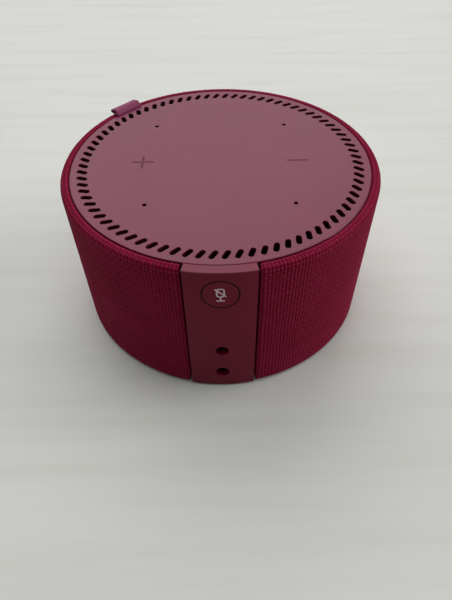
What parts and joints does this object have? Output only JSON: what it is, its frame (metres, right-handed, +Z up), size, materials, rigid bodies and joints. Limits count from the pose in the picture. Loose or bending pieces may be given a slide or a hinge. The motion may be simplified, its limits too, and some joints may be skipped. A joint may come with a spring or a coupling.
{
  "type": "smart speaker",
  "caption": "Compact round fabric-covered smart speaker: slotted touch top, front control strip with mute button, audio and power sockets, ribbon tag.",
  "frame": {"origin": "centre of the round footprint, on the surface the rubber foot rests on", "axes": "+Z up through the top plate; the control strip with its button and sockets faces -Y; plus sign at -X"},
  "size_m": [0.1, 0.1, 0.0539],
  "materials": {
    "jacket_fabric": "plain woven polyester, burgundy",
    "tag_ribbon": "woven ribbon",
    "plate_plastic": "fine spark texture, mauve burgundy",
    "mark_ink": "pad-printed recess",
    "strip_plastic": "fine spark texture, dark burgundy",
    "icon_ink": "pale inlay",
    "base_plastic": "spark texture",
    "foot_rubber": "soft rubber",
    "scrim_cloth": "acoustic mesh",
    "black_plastic": "moulded",
    "shell_plastic": "moulded",
    "board_green": "solder mask",
    "chip_black": "epoxy",
    "tin": "tinned sheet",
    "screw_steel": "blackened zinc",
    "contact_gold": "gold-plated",
    "film_amber": "polyimide",
    "soft_silicone": "silicone",
    "cone_paper": "coated paper",
    "surround_rubber": "butyl rubber",
    "spider_cloth": "resin-stiffened cotton",
    "copper": "enamelled copper",
    "ferrite": "sintered ferrite",
    "motor_steel": "zinc-plated",
    "basket_steel": "black pressed steel",
    "wire_jacket": "PVC"
  },
  "bodies": {
    "housing": {"top_plate": "plate_plastic", "volume_marks": "mark_ink", "slot_scrim": "scrim_cloth", "touch_film": "film_amber", "fabric_sleeve": "jacket_fabric", "side_shell": "shell_plastic", "control_strip": "strip_plastic", "switch_body": "chip_black", "switch_dome": "tin", "port_board": "board_green", "port_screws": "screw_steel", "audio_jack": "black_plastic", "audio_contacts": "contact_gold", "power_jack": "black_plastic", "power_contact": "contact_gold", "power_pin": "tin", "cable_sockets": "chip_black", "flat_cable": "film_amber", "tag_loop": "tag_ribbon", "base_plate": "base_plastic", "base_screws": "screw_steel", "foot_ring": "foot_rubber", "speaker_box": "black_plastic", "baffle_gasket": "soft_silicone", "baffle": "black_plastic", "baffle_screws": "screw_steel", "driver_gasket": "soft_silicone", "driver_screws": "screw_steel", "driver_basket": "basket_steel", "driver_surround": "surround_rubber", "driver_spider": "spider_cloth", "driver_washer": "motor_steel", "driver_magnet": "ferrite", "driver_yoke": "motor_steel", "driver_terminals": "board_green", "speaker_wires": "wire_jacket", "wire_grommet": "soft_silicone", "main_board": "board_green", "board_screws": "screw_steel", "mic_capsules": "tin", "mic_gaskets": "soft_silicone", "shield_can": "tin", "processor_chip": "chip_black", "board_parts": "chip_black", "wifi_antenna": "tin"},
    "mute_key": {"mute_button": "strip_plastic", "mute_icon": "icon_ink", "switch_plunger": "black_plastic"},
    "moving_cone": {"driver_cone": "cone_paper", "dust_cap": "cone_paper", "coil_former": "film_amber", "voice_coil": "copper"}
  },
  "joints": [
    {"name": "mute_press", "type": "slide", "parent": "housing", "child": "mute_key", "axis": [0, 1, 0], "range_m": [0, 0.00035], "stiffness_N_per_m": 4000, "deforming": ["switch_dome"]},
    {"name": "cone_stroke", "type": "slide", "parent": "housing", "child": "moving_cone", "axis": [0, 0, 1], "range_m": [-0.0015, 0.0015], "stiffness_N_per_m": 1800, "deforming": ["driver_surround", "driver_spider"]}
  ]
}
